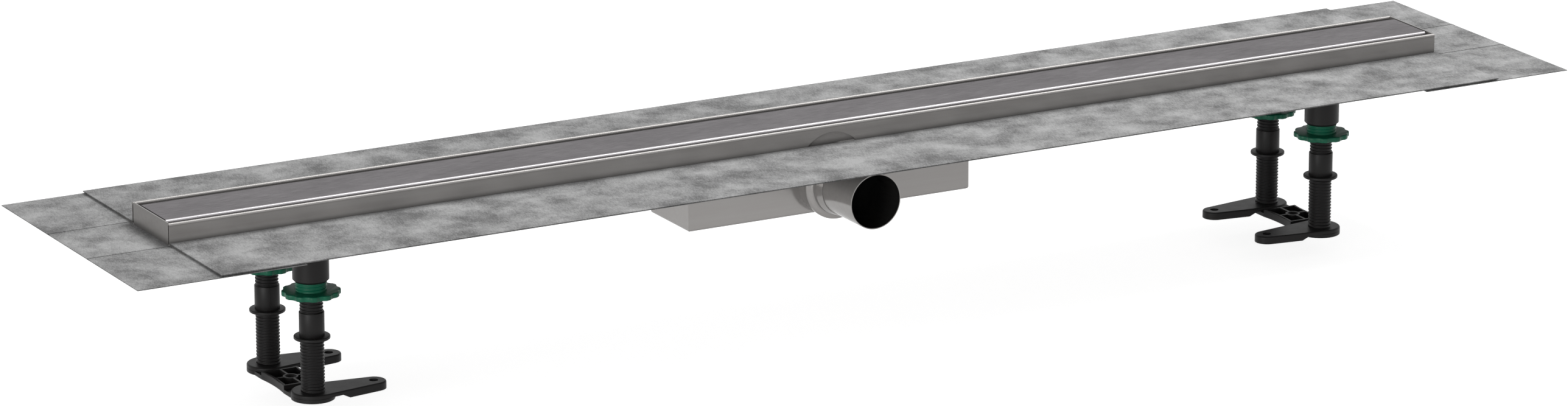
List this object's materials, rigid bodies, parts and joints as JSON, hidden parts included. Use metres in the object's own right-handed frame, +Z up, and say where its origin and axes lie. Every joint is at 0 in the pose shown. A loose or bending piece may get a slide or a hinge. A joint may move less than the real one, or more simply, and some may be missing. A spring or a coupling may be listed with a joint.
{
  "type": "linear shower drain",
  "caption": "Linear shower drain: folded steel channel with a flush cover, trap box with a side outlet, fleece sealing membrane all round, and height-adjustable screw feet.",
  "frame": {"origin": "on the floor, under the middle of the channel", "axes": "+X along the channel, +Y away from the outlet, +Z up"},
  "size_m": [1.432, 0.287, 0.1716],
  "materials": {
    "satin_steel": "satin",
    "brushed_cover": "brushed along the length",
    "plain_steel": "mill finish",
    "zinc_steel": "zinc plated",
    "membrane_fleece": "felted fleece on a thin film",
    "bond_strip": "matt butyl",
    "seal_rubber": "matt",
    "black_plastic": "satin moulded",
    "green_plastic": "satin moulded",
    "insert_plastic": "satin moulded"
  },
  "bodies": {
    "channel": {"cover_plate": "brushed_cover", "cover_rest_1": "plain_steel", "cover_rest_2": "plain_steel", "cover_rest_3": "plain_steel", "cover_rest_4": "plain_steel", "end_angle_left": "plain_steel", "end_angle_right": "plain_steel", "end_plate_left": "satin_steel", "end_plate_right": "satin_steel", "end_sheet_left": "membrane_fleece", "end_sheet_right": "membrane_fleece", "floor_pan_left": "plain_steel", "floor_pan_right": "plain_steel", "hair_strainer": "plain_steel", "insert_seal": "seal_rubber", "lap_bond_left_back": "bond_strip", "lap_bond_left_front": "bond_strip", "lap_bond_right_back": "bond_strip", "lap_bond_right_front": "bond_strip", "membrane_back": "membrane_fleece", "membrane_front": "membrane_fleece", "outlet_pipe": "satin_steel", "outlet_seal": "seal_rubber", "outlet_socket": "satin_steel", "rail_back": "satin_steel", "rail_front": "satin_steel", "socket_left_back": "black_plastic", "socket_left_front": "black_plastic", "socket_nut_left_back": "zinc_steel", "socket_nut_left_front": "zinc_steel", "socket_nut_right_back": "zinc_steel", "socket_nut_right_front": "zinc_steel", "socket_right_back": "black_plastic", "socket_right_front": "black_plastic", "support_bar_left": "plain_steel", "support_bar_right": "plain_steel", "trap_box": "satin_steel", "trap_cup": "insert_plastic", "trap_insert": "insert_plastic"},
    "foot_left": {"foot_bridge_left": "black_plastic", "post_left_front": "black_plastic", "post_left_back": "black_plastic"},
    "foot_right": {"foot_bridge_right": "black_plastic", "post_right_front": "black_plastic", "post_right_back": "black_plastic"},
    "wheel_body_left_front": {"wheel_left_front": "green_plastic"},
    "wheel_body_left_back": {"wheel_left_back": "green_plastic"},
    "wheel_body_right_front": {"wheel_right_front": "green_plastic"},
    "wheel_body_right_back": {"wheel_right_back": "green_plastic"},
    "arm_body_left_front": {"foot_arm_left_front": "black_plastic"},
    "arm_body_left_back": {"foot_arm_left_back": "black_plastic"},
    "arm_body_right_front": {"foot_arm_right_front": "black_plastic"},
    "arm_body_right_back": {"foot_arm_right_back": "black_plastic"}
  },
  "joints": [
    {"name": "height_left", "type": "slide", "parent": "channel", "child": "foot_left", "axis": [0, 0, 1], "range_m": [-0.02, 0.0145]},
    {"name": "height_right", "type": "slide", "parent": "channel", "child": "foot_right", "axis": [0, 0, 1], "range_m": [-0.02, 0.0145]},
    {"name": "wheel_turn_left_front", "type": "hinge", "parent": "channel", "child": "wheel_body_left_front", "pos_m": [-0.5127, -0.045, 0.0945], "axis": [0, 0, 1], "range_deg": [-1380, 1000]},
    {"name": "arm_swing_left_front", "type": "hinge", "parent": "foot_left", "child": "arm_body_left_front", "pos_m": [-0.5127, -0.045, 0.0053], "axis": [0, 0, 1], "range_deg": [-190, 10]},
    {"name": "wheel_turn_left_back", "type": "hinge", "parent": "channel", "child": "wheel_body_left_back", "pos_m": [-0.5127, 0.045, 0.0945], "axis": [0, 0, 1], "range_deg": [-1380, 1000]},
    {"name": "arm_swing_left_back", "type": "hinge", "parent": "foot_left", "child": "arm_body_left_back", "pos_m": [-0.5127, 0.045, 0.0053], "axis": [0, 0, 1], "range_deg": [-10, 190]},
    {"name": "wheel_turn_right_front", "type": "hinge", "parent": "channel", "child": "wheel_body_right_front", "pos_m": [0.5127, -0.045, 0.0945], "axis": [0, 0, 1], "range_deg": [-1380, 1000]},
    {"name": "arm_swing_right_front", "type": "hinge", "parent": "foot_right", "child": "arm_body_right_front", "pos_m": [0.5127, -0.045, 0.0053], "axis": [0, 0, 1], "range_deg": [-10, 190]},
    {"name": "wheel_turn_right_back", "type": "hinge", "parent": "channel", "child": "wheel_body_right_back", "pos_m": [0.5127, 0.045, 0.0945], "axis": [0, 0, 1], "range_deg": [-1380, 1000]},
    {"name": "arm_swing_right_back", "type": "hinge", "parent": "foot_right", "child": "arm_body_right_back", "pos_m": [0.5127, 0.045, 0.0053], "axis": [0, 0, 1], "range_deg": [-190, 10]}
  ],
  "couplings": [
    {"joint": "wheel_turn_left_front", "follows": "height_left", "rad_per_m": 1196.8},
    {"joint": "wheel_turn_left_back", "follows": "height_left", "rad_per_m": 1196.8},
    {"joint": "wheel_turn_right_front", "follows": "height_right", "rad_per_m": 1196.8},
    {"joint": "wheel_turn_right_back", "follows": "height_right", "rad_per_m": 1196.8}
  ]
}
